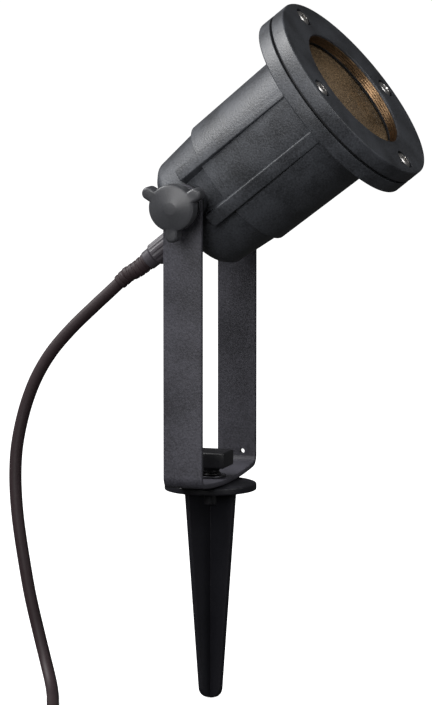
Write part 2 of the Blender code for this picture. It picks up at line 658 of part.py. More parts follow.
def build_plug():
    """A moulded earthed plug lying beside the coil, pins pointing away along +Y."""
    plug = new_empty("plug_frame", None, (PLUG_X, PLUG_Y, FLOOR_Z + PLUG_R), (-math.pi / 2, 0, 0))
    body = [(0.0, 0.0600), (0.0155, 0.0600), (0.0165, 0.0592), (PLUG_R, 0.0555), (PLUG_R, 0.0390),
            (0.0150, 0.0270), (0.0080, 0.0180), (0.0058, 0.0120), (0.0045, 0.0), (0.0, 0.0)]
    shell = lathe("plug_body", body, MEDIUM, at(plug), ring=False)
    pin = [(0.0, 0.0790), (0.0012, 0.0787), (0.0023, 0.0770), (0.0023, 0.0544), (0.0, 0.0544)]
    for index, side in enumerate((-1, 1)):
        slot = prism(f"cut_plug_clip_{index}", box(0.0025, 0.0030, 0.0, side * 0.0175), 0.0440, 0.0620,
                     at(plug), CUTTERS)
        combine(shell, slot, 'DIFFERENCE')
        clip = prism(f"plug_earth_clip_{index + 1}", box(0.0021, 0.0007, 0.0, side * 0.0159),
                     0.0444, 0.0590, at(plug))
        finish(clip, (0.60, 0.45, 0.22), 1.0, 0.35)
        pin_x = side * 0.0095
        hole(shell, 0.0026, 0.0540, 0.0620, at(plug), TINY, pin_x, 0.0)
        metal = lathe(f"plug_pin_{index + 1}", pin, TINY, at(plug, (pin_x, 0, 0)), ring=False)
        finish(metal, STEEL, 1.0, 0.25)
    finish(shell, (0.03, 0.03, 0.03), roughness=0.55)


# ---- pivots ---------------------------------------------------------------------------------
def lobe_outline():
    points = []
    for k in range(3):
        middle = math.radians(-90 + 120 * k)
        out, side = (math.cos(middle), math.sin(middle)), (-math.sin(middle), math.cos(middle))
        local = [(0.0042, -LOBE_R)]
        local += [(LOBE_REACH + LOBE_R * math.cos(a), LOBE_R * math.sin(a))
                  for a in [math.radians(d) for d in range(-90, 91, 45)]]
        local += [(0.0042, LOBE_R)]
        points += [(out[0] * a + side[0] * b, out[1] * a + side[1] * b) for a, b in local]
    return points


def build_pivot(side, frame):
    """Friction washer, arm washer, stud and knob, stacked outwards along the frame's Z axis."""
    inner_face, outer_face = ARM_Y - STRIP_T / 2, ARM_Y + STRIP_T / 2
    pad = [(0.0098, inner_face - GAP), (0.0098, 0.0398), (0.0045, 0.0398), (0.0045, inner_face - GAP)]
    finish(lathe(f"{side}_friction_washer", pad, MEDIUM, at(frame)), (0.02, 0.02, 0.02), roughness=0.7)
    washer_low = outer_face + GAP
    washer_high = washer_low + 0.0015
    washer = [(0.0096, washer_high), (0.0096, washer_low), (0.0045, washer_low), (0.0045, washer_high)]
    finish(lathe(f"{side}_arm_washer", washer, MEDIUM, at(frame)), STEEL, 1.0, 0.35)
    hub_low = washer_high + GAP
    stud = [(0.0, 0.0566), (STUD_R, 0.0566), (STUD_R, 0.0330), (STUD_R - 0.0006, 0.0323), (0.0, 0.0323)]
    finish(lathe(f"{side}_stud", stud, SMALL, at(frame), ring=False), STEEL, 1.0, 0.35)
    cap = [(0.0, 0.0658), (0.0040, 0.0656), (0.0075, 0.0646), (0.0084, 0.0636), (0.0105, 0.0631),
           (KNOB_R, 0.0618), (KNOB_R, 0.0556), (0.0110, 0.0549), (0.0092, 0.0540), (0.0086, hub_low),
           (0.0, hub_low)]
    knob = lathe(f"{side}_knob", cap, MEDIUM, at(frame), ring=False)
    lobes = prism(f"join_{side}_lobes", lobe_outline(), 0.0546, 0.0622, at(frame), CUTTERS)
    soften(lobes, 0.0008, 1, 60.0)
    combine(knob, lobes, 'UNION')
    hole(knob, STUD_R + GAP, hub_low - 0.002, 0.0570, at(frame), SMALL)
    finish(knob, (0.045, 0.046, 0.050), roughness=0.5)


# ---- assembly -------------------------------------------------------------------------------
clear_scene()
PARTS = new_collection("light_projector_stake")
CUTTERS = new_collection("cutters")
CUTTERS.hide_render = True

head_frame = new_empty("head_tilt_axis", None, (0, 0, PIVOT_Z), (0, math.pi / 2 - TILT, 0))
optic_frame = new_empty("optic_axis", head_frame, (AXIS_DROP, 0, FRONT))
gland_frame = new_empty("gland_axis", head_frame, (GLAND_DROP, 0, FRONT - GLAND_U))
near_pivot = new_empty("near_knob_axis", None, (0, 0, PIVOT_Z), (math.pi / 2, 0, 0))
far_pivot = new_empty("far_knob_axis", None, (0, 0, PIVOT_Z), (math.pi / 2, 0, math.pi))

build_spike()
build_bracket(near_pivot, far_pivot)
build_clamp()
build_housing(optic_frame, near_pivot, far_pivot)
build_bezel(optic_frame)
build_glass(optic_frame)
build_bezel_screws(optic_frame)
build_lamp(optic_frame)
build_holder(optic_frame)
build_wiring(optic_frame)
build_gland(gland_frame)
build_lead()
build_coil()
build_plug()
build_pivot("near", near_pivot)
build_pivot("far", far_pivot)
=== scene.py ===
"""Visual model of the ground-spike spotlight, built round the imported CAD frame. Lengths are metres."""

import math

import bmesh
import bpy
import numpy as np
from mathutils import Matrix, Vector


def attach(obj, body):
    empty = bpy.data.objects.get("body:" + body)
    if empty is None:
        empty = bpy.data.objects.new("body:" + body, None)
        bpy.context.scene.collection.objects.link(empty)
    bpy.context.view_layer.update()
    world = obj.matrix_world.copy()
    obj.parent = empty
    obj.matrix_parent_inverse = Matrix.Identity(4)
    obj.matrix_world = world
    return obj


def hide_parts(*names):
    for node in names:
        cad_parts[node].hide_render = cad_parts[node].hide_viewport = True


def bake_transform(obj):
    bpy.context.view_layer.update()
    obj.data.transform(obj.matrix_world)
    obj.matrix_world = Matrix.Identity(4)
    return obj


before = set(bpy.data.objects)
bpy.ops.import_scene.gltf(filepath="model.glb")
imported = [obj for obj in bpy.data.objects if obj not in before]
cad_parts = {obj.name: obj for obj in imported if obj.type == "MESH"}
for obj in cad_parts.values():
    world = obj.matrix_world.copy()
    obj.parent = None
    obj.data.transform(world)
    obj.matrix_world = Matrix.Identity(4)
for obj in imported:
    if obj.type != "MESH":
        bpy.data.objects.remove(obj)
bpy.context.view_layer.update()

# ---- dimensions shared with the CAD ---------------------------------------------------------
TILT = math.radians(39.0)
PIVOT_Z = 0.1465
FRONT = 0.093
AXIS_DROP = 0.0035
GLAND_DROP = 0.0056
GAP = 0.0003
FLANGE_R = 0.0525
BEZEL_T = 0.0076
APERTURE_R = 0.033
REBATE_R = 0.0372
REBATE_U = 0.0062
FLANGE_U = 0.0089
FLANGE_BACK_U = 0.0163
STEP_U = 0.0772
SEAT_U = 0.079
REAR_U = 0.108
CAVITY_U = 0.100
GLAND_U = 0.105
BARREL_FRONT_R = 0.0368
BARREL_STEP_R = 0.0350
REAR_STEP_R = 0.0332
REAR_END_R = 0.0306
BORE_R = 0.031
REAR_BORE_R = 0.0288
SCREW_CIRCLE_R = 0.044
SCREW_CLOCKING = math.radians(-6.2)
COUNTERBORE_R = 0.0052
COUNTERBORE_T = 0.0024
RIB_W = 0.007
RIB_FOOT_R = 0.0312
RIB_R = 0.0373
RIB_END_U = 0.090
RIB_SPREAD = math.radians(22.5)
STRIP_W = 0.020
STRIP_T = 0.0025
ARM_Y = 0.0435
BASE_Z = 0.0026
BASE_RISE = 0.0024
BASE_HALF = 0.039
BEND_R = 0.0045
EARTH_HOLE = (-0.0031, -0.1340)
COLLAR_R = 0.023
COLLAR_T = 0.0023
FIN_TOP_HALF = 0.0171
FIN_LOW_HALF = 0.0075
FIN_LOW_Z = -0.1008
TIP_Z = -0.1068
FIN_T = 0.0026
SPIKE_TURN = math.radians(-27.0)
CORE_R = 0.0055
CORE_Z = -0.0084
KNOB_R = 0.0116
LOBE_R = 0.0032
LOBE_REACH = 0.0138
CORD_R = 0.00315
FLOOR_Z = TIP_Z
COIL_X, COIL_Y = -0.135, -0.077
COIL_R = 0.034
COIL_H = 0.0252
TIE_TURN = math.radians(70)
PLUG_R = 0.0185
PLUG_X = COIL_X - COIL_R - 2 * CORD_R
PLUG_Y = -0.044

# ---- camera ---------------------------------------------------------------------------------
VIEW_TURN = math.radians(18.0)
VIEW_RISE = math.radians(7.5)
VIEW_HEIGHT = 0.3525                 # height of the field of view at the object
AIM_RIGHT, AIM_UP = 0.00275, 0.06725
DISTANCE = 3.2
SENSOR = 36.0

to_right = Vector((math.cos(VIEW_TURN), math.sin(VIEW_TURN), 0))
to_camera = Vector((math.sin(VIEW_TURN) * math.cos(VIEW_RISE), -math.cos(VIEW_TURN) * math.cos(VIEW_RISE),
                    math.sin(VIEW_RISE)))
to_top = to_camera.cross(to_right)


def build_camera():
    data = bpy.data.cameras.new("camera")
    camera = bpy.data.objects.new("camera", data)
    bpy.context.scene.collection.objects.link(camera)
    aim = to_right * AIM_RIGHT + to_top * AIM_UP
    turn = Matrix((to_right, to_top, to_camera)).transposed().to_4x4()
    camera.matrix_world = Matrix.Translation(aim + to_camera * DISTANCE) @ turn
    data.sensor_width = SENSOR
    data.lens = SENSOR * DISTANCE / VIEW_HEIGHT
    data.clip_start, data.clip_end = 0.05, 50.0
    bpy.context.scene.camera = camera


# ---- mesh helpers ---------------------------------------------------------------------------
def new_object(name, verts, faces, place=None):
    mesh = bpy.data.meshes.new(name)
    mesh.from_pydata([tuple(v) for v in verts], [], faces)
    obj = bpy.data.objects.new(name, mesh)
    bpy.context.scene.collection.objects.link(obj)
    if place is not None:
        mesh.transform(place)
    bm = bmesh.new()
    bm.from_mesh(mesh)
    bmesh.ops.recalc_face_normals(bm, faces=bm.faces)
    bm.to_mesh(mesh)
    bm.free()
    return obj


def bake(obj):
    """Replace an object's mesh by the result of its modifiers."""
    graph = bpy.context.evaluated_depsgraph_get()
    mesh = bpy.data.meshes.new_from_object(obj.evaluated_get(graph))
    obj.modifiers.clear()
    obj.data = mesh
    return obj


def cut(target, tools, operation='DIFFERENCE'):
    for tool in tools:
        step = target.modifiers.new("cut", 'BOOLEAN')
        step.operation = operation
        step.solver = 'EXACT'
        step.object = tool
    bake(target)
    for tool in tools:
        bpy.data.objects.remove(tool, do_unlink=True)
    return target


def soften(obj, width, segments=3, angle=35.0):
    step = obj.modifiers.new("soften", 'BEVEL')
    step.width = width
    step.segments = segments
    step.limit_method = 'ANGLE'
    step.angle_limit = math.radians(angle)
    return bake(obj)


def rounded(corners, steps=5):
    """Profile points from (radius, height) or (radius, height, fillet) corners."""
    points = []
    last = len(corners) - 1
    for i, corner in enumerate(corners):
        here = Vector(corner[:2])
        if len(corner) < 3 or i in (0, last):
            points.append(here)
            continue
        before, after = Vector(corners[i - 1][:2]), Vector(corners[i + 1][:2])
        back, on = (before - here), (after - here)
        half = back.angle(on) / 2
        reach = min(corner[2] / math.tan(half), back.length * 0.48, on.length * 0.48)
        start, end = here + back.normalized() * reach, here + on.normalized() * reach
        for k in range(steps + 1):
            t = k / steps
            points.append(start * (1 - t) ** 2 + here * 2 * t * (1 - t) + end * t ** 2)
    return points


def lathe(name, corners, steps=128, place=None, closed=True, wave=None, fillet_steps=5):
    """Turn a profile about Z. wave(turn, radius, height) may change the radius round the turn."""
    profile = rounded(corners, fillet_steps)
    verts, rows = [], []
    for radius, height in profile:
        if radius < 1e-7:
            rows.append([len(verts)] * steps)
            verts.append((0.0, 0.0, height))
            continue
        rows.append(list(range(len(verts), len(verts) + steps)))
        for k in range(steps):
            turn = 2 * math.pi * k / steps
            r = wave(turn, radius, height) if wave else radius
            verts.append((r * math.cos(turn), r * math.sin(turn), height))
    faces = []
    pairs = list(zip(rows, rows[1:]))
    if closed:
        pairs.append((rows[-1], rows[0]))
    for a, b in pairs:
        for k in range(steps):
            n = (k + 1) % steps
            face = list(dict.fromkeys((a[k], a[n], b[n], b[k])))
            if len(face) > 2:
                faces.append(face)
    return new_object(name, verts, faces, place)


def prism(name, outline, low, high, place=None):
    count = len(outline)
    verts = [(x, y, low) for x, y in outline] + [(x, y, high) for x, y in outline]
    faces = [list(range(count)), list(range(count, 2 * count))]
    faces += [[k, (k + 1) % count, (k + 1) % count + count, k + count] for k in range(count)]
    return new_object(name, verts, faces, place)


def circle(radius, steps, x=0.0, y=0.0):
    turns = [2 * math.pi * k / steps for k in range(steps)]
    return [(x + radius * math.cos(t), y + radius * math.sin(t)) for t in turns]


def box(half_x, half_y, x=0.0, y=0.0):
    return [(x - half_x, y - half_y), (x + half_x, y - half_y),
            (x + half_x, y + half_y), (x - half_x, y + half_y)]


def bore(name, radius, low, high, place, x=0.0, y=0.0, steps=48):
    return prism(name, circle(radius, steps, x, y), low, high, place)


def tube(name, points, radii, sides=20, place=None):
    """A capped tube along points, with a radius at each."""
    points = [Vector(p) for p in points]
    last = len(points) - 1
    along = [(points[min(i + 1, last)] - points[max(i - 1, 0)]).normalized() for i in range(last + 1)]
    side = along[0].orthogonal().normalized()
    verts, faces = [], []
    for i, point in enumerate(points):
        side = (side - along[i] * side.dot(along[i])).normalized()
        up = along[i].cross(side)
        for k in range(sides):
            turn = 2 * math.pi * k / sides
            verts.append(point + radii[i] * (side * math.cos(turn) + up * math.sin(turn)))
    for i in range(last):
        for k in range(sides):
            n = (k + 1) % sides
            a, b = i * sides, (i + 1) * sides
            faces.append([a + k, a + n, b + n, b + k])
    faces.append(list(range(sides)))
    faces.append(list(range(last * sides, (last + 1) * sides)))
    return new_object(name, verts, faces, place)


def smooth_path(stops, spacing):
    """Evenly spaced points on a smooth curve through the stops."""
    stops = [Vector(s) for s in stops]
    fine = []
    for i in range(len(stops) - 1):
        before, start = stops[max(i - 1, 0)], stops[i]
        end, after = stops[i + 1], stops[min(i + 2, len(stops) - 1)]
        for k in range(24):
            t = k / 24
            fine.append(0.5 * (2 * start + (end - before) * t
                               + (2 * before - 5 * start + 4 * end - after) * t ** 2
                               + (3 * start - before - 3 * end + after) * t ** 3))
    fine.append(stops[-1])
    return even(fine, spacing)


def even(points, spacing):
    travelled = np.concatenate([[0.0], np.cumsum([(b - a).length for a, b in zip(points, points[1:])])])
    count = max(2, round(travelled[-1] / spacing) + 1)
    wanted = np.linspace(0.0, travelled[-1], count)
    flat = np.array(points)
    return [Vector(row) for row in np.stack([np.interp(wanted, travelled, flat[:, i]) for i in range(3)], 1)]


def join(name, parts):
    """One object from several meshes that stay separate shells."""
    bm = bmesh.new()
    for part in parts:
        bm.from_mesh(part.data)
    mesh = bpy.data.meshes.new(name)
    bm.to_mesh(mesh)
    bm.free()
    for part in parts:
        bpy.data.objects.remove(part, do_unlink=True)
    obj = bpy.data.objects.new(name, mesh)
    bpy.context.scene.collection.objects.link(obj)
    return obj


# ---- materials --------------------------------------------------------------------------------
def surface(name, color, rough, metallic=0.0, spread=0.12, grain=1500.0, relief=0.00003, cloud=45.0,
            cloud_relief=0.0, rough_spread=0.06, edge=0.0, soft=0.0, stretch=None, contrast=0.20, **sockets):
    """A Principled material whose colour, roughness and relief vary with noise in object space."""
    material = bpy.data.materials.new(name)
    material.use_nodes = True
    tree = material.node_tree
    shader = tree.nodes["Principled BSDF"]
    new, join_up = tree.nodes.new, tree.links.new
    coords = new("ShaderNodeTexCoord").outputs["Object"]
    if stretch:
        mapping = new("ShaderNodeMapping")
        mapping.inputs["Scale"].default_value = stretch
        join_up(coords, mapping.inputs["Vector"])
        coords = mapping.outputs["Vector"]

    def noise(scale, detail):
        node = new("ShaderNodeTexNoise")
        node.inputs["Scale"].default_value = scale
        node.inputs["Detail"].default_value = detail
        join_up(coords, node.inputs["Vector"])
        return node.outputs["Fac"]

    fine, broad = noise(grain, 3.0), noise(cloud, 4.0)
    blend = new("ShaderNodeMath")
    blend.operation = 'ADD'
    join_up(fine, blend.inputs[0])
    join_up(broad, blend.inputs[1])
    ramp = new("ShaderNodeValToRGB")
    ramp.color_ramp.elements[0].position = 0.5 - contrast
    ramp.color_ramp.elements[1].position = 0.5 + contrast
    ramp.color_ramp.elements[0].color = (*[c * (1 - spread) for c in color], 1)
    ramp.color_ramp.elements[1].color = (*[min(c * (1 + spread), 1) for c in color], 1)
    halve = new("ShaderNodeMath")
    halve.operation = 'MULTIPLY'
    halve.inputs[1].default_value = 0.5
    join_up(blend.outputs[0], halve.inputs[0])
    join_up(halve.outputs[0], ramp.inputs["Fac"])
    paint = ramp.outputs["Color"]
    rounding = None
    if soft:
        rounding = new("ShaderNodeBevel")
        rounding.samples = 4
        rounding.inputs["Radius"].default_value = soft
    if edge:
        paint = worn_edges(new, join_up, paint, rounding, color, edge, broad)
    join_up(paint, shader.inputs["Base Color"])
    spans = new("ShaderNodeMapRange")
    spans.inputs["From Min"].default_value = 0.3
    spans.inputs["From Max"].default_value = 0.7
    spans.inputs["To Min"].default_value = max(rough - rough_spread, 0.02)
    spans.inputs["To Max"].default_value = min(rough + rough_spread, 1.0)
    join_up(halve.outputs[0], spans.inputs["Value"])
    join_up(spans.outputs["Result"], shader.inputs["Roughness"])
    normal = rounding.outputs["Normal"] if rounding else None
    for height, distance in ((broad, cloud_relief), (fine, relief)):
        if not distance:
            continue
        bump = new("ShaderNodeBump")
        bump.inputs["Distance"].default_value = distance
        bump.inputs["Strength"].default_value = 1.0
        join_up(height, bump.inputs["Height"])
        if normal:
            join_up(normal, bump.inputs["Normal"])
        normal = bump.outputs["Normal"]
    if normal:
        join_up(normal, shader.inputs["Normal"])
    shader.inputs["Metallic"].default_value = metallic
    for key, value in sockets.items():
        shader.inputs[key.replace("_", " ")].default_value = value
    return material


def worn_edges(new, join_up, paint, rounding, color, amount, broad):
    """Lighter paint where the rounded normal leaves the flat one, broken up by noise."""
    flat = new("ShaderNodeNewGeometry").outputs["Normal"]
    match = new("ShaderNodeVectorMath")
    match.operation = 'DOT_PRODUCT'
    join_up(flat, match.inputs[0])
    join_up(rounding.outputs["Normal"], match.inputs[1])
    spans = new("ShaderNodeMapRange")
    spans.inputs["From Min"].default_value = 0.995
    spans.inputs["From Max"].default_value = 0.90
    spans.inputs["To Max"].default_value = amount
    join_up(match.outputs["Value"], spans.inputs["Value"])
    broken = new("ShaderNodeMath")
    broken.operation = 'MULTIPLY'
    join_up(spans.outputs["Result"], broken.inputs[0])
    join_up(broad, broken.inputs[1])
    mix = new("ShaderNodeMix")
    mix.data_type = 'RGBA'
    join_up(broken.outputs[0], mix.inputs["Factor"])
    join_up(paint, mix.inputs["A"])
    mix.inputs["B"].default_value = (*[min(c * 3.0, 1) for c in color], 1)
    return mix.outputs["Result"]


COAT = surface("powder_coat", (0.045, 0.048, 0.055), 0.46, spread=0.46, grain=1150, relief=0.00015, cloud=60,
               contrast=0.11,
               edge=0.8, soft=0.0003, Specular_IOR_Level=0.50)
STRIP_COAT = surface("powder_coat_strip", (0.050, 0.049, 0.060), 0.50, spread=0.36, grain=1150,
                     contrast=0.11, relief=0.00012, cloud=50, edge=0.6, soft=0.0004, Specular_IOR_Level=0.42)
SPIKE = surface("spike_plastic", (0.009, 0.009, 0.012), 0.42, spread=0.2, grain=900, relief=0.00002,
                cloud=35, cloud_relief=0.0002, edge=0.5, soft=0.0004, Specular_IOR_Level=0.4)
KNOB = surface("knob_plastic", (0.046, 0.047, 0.052), 0.40, spread=0.14, grain=1100, relief=0.00002, cloud=90,
               edge=0.5, soft=0.0004, Specular_IOR_Level=0.5)
CLAMP = surface("clamp_plastic", (0.010, 0.010, 0.012), 0.42, spread=0.15, grain=1000, relief=0.00002,
                soft=0.0003, edge=0.3)
GASKET = surface("gasket_rubber", (0.006, 0.006, 0.007), 0.75, spread=0.2, grain=1400, relief=0.00003)
STEEL = surface("screw_steel", (0.70, 0.68, 0.66), 0.36, metallic=1.0, spread=0.12, grain=900,
                relief=0.00001, cloud=300, soft=0.00015)
ZINC = surface("zinc_plate", (0.42, 0.42, 0.42), 0.38, metallic=1.0, spread=0.15, grain=1200, relief=0.00002,
               cloud=200)
BLACK_ZINC = surface("black_zinc", (0.10, 0.10, 0.11), 0.42, metallic=1.0, spread=0.2, grain=1200,
                     relief=0.00002, cloud=200)
BRONZE = surface("reflector_metal", (0.42, 0.30, 0.19), 0.34, metallic=1.0, spread=0.25, grain=700,
                 relief=0.0001, cloud=120)
MIRROR = surface("lamp_mirror", (0.70, 0.62, 0.50), 0.18, metallic=1.0, spread=0.15, grain=500,
                 relief=0.0001, cloud=200)
CERAMIC = surface("lamp_ceramic", (0.66, 0.64, 0.58), 0.6, spread=0.06, grain=1200, relief=0.00002)
TERMINAL = surface("terminal_plastic", (0.60, 0.57, 0.50), 0.45, spread=0.06, grain=1000, relief=0.00001)
GLAND = surface("gland_plastic", (0.050, 0.044, 0.052), 0.48, spread=0.14, grain=1200, relief=0.00003,
                soft=0.0003, edge=0.3)
SHEATH = surface("sheath_rubber", (0.026, 0.016, 0.018), 0.55, spread=0.18, grain=900, relief=0.00003,
                 cloud=40, Specular_IOR_Level=0.35)
TIE = surface("tie_plastic", (0.020, 0.020, 0.022), 0.40, spread=0.15, grain=1200, relief=0.00001,
              soft=0.0002)
PLUG = surface("plug_rubber", (0.020, 0.019, 0.021), 0.58, spread=0.18, grain=1000, relief=0.00003,
               cloud=60, soft=0.0004)
NICKEL = surface("pin_nickel", (0.66, 0.62, 0.55), 0.22, metallic=1.0, spread=0.08, grain=900,
                 relief=0.000005, stretch=(1, 1, 0.2))
BRASS = surface("brass_contact", (0.60, 0.43, 0.18), 0.30, metallic=1.0, spread=0.12, grain=900,
                relief=0.00001)
WIRES = {
    "lead_live": surface("lead_brown", (0.13, 0.045, 0.02), 0.42, spread=0.08, relief=0.00001),
    "lead_neutral": surface("lead_blue", (0.02, 0.07, 0.30), 0.42, spread=0.08, relief=0.00001),
    "lead_earth": surface("lead_green", (0.10, 0.28, 0.03), 0.42, spread=0.5, relief=0.00001, cloud=500),
    "lamp_lead_1": surface("lead_white", (0.66, 0.64, 0.58), 0.7, spread=0.1, grain=2500, relief=0.00006),
}
WIRES["lamp_lead_2"] = WIRES["lamp_lead_1"]
# Painted reflection: the pane's bronze colour and its speckle, stretched along one axis into streaks, stand
# in for light reflected in the glass and the bronze glow behind it.
WINDOW_PAINTED_REFLECTION = surface("window_glass", (0.26, 0.180, 0.105), 0.12, spread=0.85, grain=1400, relief=0.00020,
                 cloud=32, cloud_relief=0.0004, contrast=0.13, stretch=(1, 0.4, 1), Specular_IOR_Level=0.6,
                 Alpha=0.74)
# Painted reflection: the bronze tone on the bezel's ridged inner wall stands in for the bronze interior
# reflected there.
RING_PAINTED_REFLECTION = surface("ring_painted_reflection", (0.23, 0.145, 0.080), 0.36, metallic=1.0, spread=0.35, grain=900,
                      relief=0.00012, cloud=90, contrast=0.10)
LAMP_GLASS = surface("lamp_glass", (0.62, 0.54, 0.42), 0.10, spread=0.1, grain=400, relief=0.0002, Alpha=0.45)


# ---- placing pieces -----------------------------------------------------------------------------
def shade(obj, angle=32.0):
    obj.data.shade_smooth()
    obj.data.set_sharp_from_angle(angle=math.radians(angle))


def dress(obj, material):
    obj.data.materials.clear()
    obj.data.materials.append(material)


def fit(obj, material, slot, body, *nodes, angle=32.0):
    """Finish a piece that rides on a body and stands for CAD nodes."""
    shade(obj, angle)
    dress(obj, material)
    if nodes:
        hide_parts(*nodes)
    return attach(obj, body)


def repaint(node, material):
    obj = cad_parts[node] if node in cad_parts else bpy.data.objects[node]
    obj.data.materials.clear()
    obj.data.materials.append(material)


def turn_about(axis, degrees):
    return Matrix.Rotation(math.radians(degrees), 4, axis)


PIVOT = Matrix.Translation((0, 0, PIVOT_Z))
HEAD = PIVOT @ Matrix.Rotation(math.pi / 2 - TILT, 4, 'Y')
OPTIC = HEAD @ Matrix.Translation((AXIS_DROP, 0, FRONT))
ENTRY = HEAD @ Matrix.Translation((GLAND_DROP, 0, FRONT - GLAND_U))
NEAR = PIVOT @ turn_about('X', 90)
FAR = PIVOT @ turn_about('Z', 180) @ turn_about('X', 90)


def screw_spots():
    turns = [SCREW_CLOCKING + math.pi / 2 * k for k in range(4)]
    return [(SCREW_CIRCLE_R * math.cos(t), SCREW_CIRCLE_R * math.sin(t)) for t in turns]


# ---- spike and bracket --------------------------------------------------------------------------
def build_spike():
    collar = [(0.0, COLLAR_T), (COLLAR_R - 0.0016, COLLAR_T, 0.0004),
              (COLLAR_R - 0.0010, COLLAR_T + 0.0002, 0.0005),
              (COLLAR_R, COLLAR_T - 0.0002, 0.0007), (COLLAR_R, -0.0010, 0.0007),
              (COLLAR_R - 0.0015, -0.0010, 0.0005), (COLLAR_R - 0.0021, 0.0, 0.0005),
              (0.0, 0.0)]
    spike = lathe("spike", collar, 144, closed=False)
    right = [(FIN_TOP_HALF + 0.0004, COLLAR_T / 2), (FIN_TOP_HALF, -0.0012), (FIN_LOW_HALF, FIN_LOW_Z)]
    tip = [(FIN_LOW_HALF * math.cos(a), FIN_LOW_Z + (TIP_Z - FIN_LOW_Z) * math.sin(a))
           for a in [math.radians(d) for d in range(10, 90, 10)]]
    outline = right + tip
    outline = outline + [(-x, z) for x, z in reversed(outline)]
    tools = []
    for index in range(2):
        place = (Matrix.Translation((0, 0, index * 0.0001))
                 @ Matrix.Rotation(SPIKE_TURN + index * math.pi / 2, 4, 'Z') @ turn_about('X', 90))
        fin = prism(f"fin_{index}", outline, -FIN_T / 2, FIN_T / 2, place)
        tools.append(soften(fin, 0.00035, 2))
    core = [(0.0, 0.0004), (CORE_R, 0.0004), (CORE_R, CORE_Z, 0.0006), (0.0, CORE_Z)]
    tools.append(lathe("core", core, 48, closed=False))
    cut(spike, tools, 'UNION')
    fit(spike, SPIKE, "spike_plastic", "stake", "ground_spike")


def strip_line():
    """Points (y, z) on the strip's mid-line, from the middle of the base to the far arm's tilt axis."""
    half_t = STRIP_T / 2
    rise_top = BASE_Z + half_t + BASE_RISE
    points = [(BASE_HALF * k / 24, BASE_Z + half_t + BASE_RISE * (k / 24) ** 2) for k in range(24)]
    points += [(BASE_HALF + BEND_R * math.sin(a), rise_top + BEND_R * (1 - math.cos(a)))
               for a in [math.pi / 2 * k / 14 for k in range(15)]]
    low = points[-1][1]
    points += [(ARM_Y, low + (PIVOT_Z - low) * k / 10) for k in range(1, 11)]
    return points


def build_bracket():
    side = strip_line()
    path = [(-y, z) for y, z in reversed(side[1:])] + side
    caps = [math.radians(d) for d in (12, 24, 36, 48, 58, 67, 75, 82, 87)]
    edge = 0.0005
    loops = []
    for quarter in range(9):
        angle = math.pi * quarter / 8
        inset = edge * (1 - math.sin(angle))
        height = math.copysign(STRIP_T / 2 - edge, math.cos(angle)) + edge * math.cos(angle)
        if quarter == 4:
            height = 0.0
        loops.append((STRIP_W / 2 - inset, height))
    stations = [(path[0], 1, a) for a in reversed(caps)] + [(p, 0, 0.0) for p in path]
    stations += [(path[-1], 1, a) for a in caps]
    count = len(stations)
    verts = []
    for half, height in loops:
        for sign in (-1, 1):
            for i, ((y, z), capped, angle) in enumerate(stations):
                if capped:
                    width, lift = half * math.cos(angle), half * math.sin(angle)
                else:
                    width, lift = half, 0.0
                    here = i - len(caps)
                    a = path[max(here - 1, 0)]
                    b = path[min(here + 1, len(path) - 1)]
                if capped:
                    ny = 1.0 if y < 0 else -1.0
                    nz = 0.0
                else:
                    length = math.hypot(b[0] - a[0], b[1] - a[1])
                    ny, nz = -(b[1] - a[1]) / length, (b[0] - a[0]) / length
                verts.append((sign * width, y + ny * height, z + lift + nz * height))
    faces = []
    per_loop = 2 * count
    ring = list(range(count)) + list(range(2 * count - 1, count - 1, -1))
    for level in range(len(loops) - 1):
        for k in range(len(ring)):
            n = (k + 1) % len(ring)
            a, b = level * per_loop, (level + 1) * per_loop
            faces.append([a + ring[k], a + ring[n], b + ring[n], b + ring[k]])
    for level in (0, len(loops) - 1):
        base = level * per_loop
        for i in range(count - 1):
            faces.append([base + i, base + i + 1, base + count + i + 1, base + count + i])
    bracket = new_object("bracket", verts, faces)
    hole = bore("earth_hole", 0.0012, 0.035, 0.055, FAR, *EARTH_HOLE)
    cut(bracket, [hole])
    fit(bracket, STRIP_COAT, "bracket_coat", "bracket", "u_bracket")


def build_clamp():
    low = BASE_Z + STRIP_T + GAP
    washer = [(0.0078, low + 0.001, 0.0002), (0.0078, low, 0.0002), (0.0028, low), (0.0028, low + 0.001)]
    base_washer = lathe("base_washer", [washer[-1]] + washer[:-1], 64)
    fit(base_washer, BLACK_ZINC, "washer_steel", "bracket", "clamp_washer")
    low += 0.001 + GAP
    block_low, block_high = 0.0106, 0.0186
    stem = [(0.0, block_low + 0.0015), (0.0062, block_low + 0.0015), (0.0062, block_low, 0.0005),
            (0.0042, block_low - 0.0021, 0.001), (0.0056, low, 0.0003), (0.0024, low), (0.0024, -0.0070),
            (0.0, -0.0070)]
    screw = lathe("clamp_head", stem, 64, closed=False)
    block = soften(prism("clamp_block", box(0.0096, 0.0083), block_low, block_high), 0.0011, 4)
    cut(screw, [block], 'UNION')
    fit(screw, CLAMP, "clamp_plastic", "clamp", "clamp_screw")


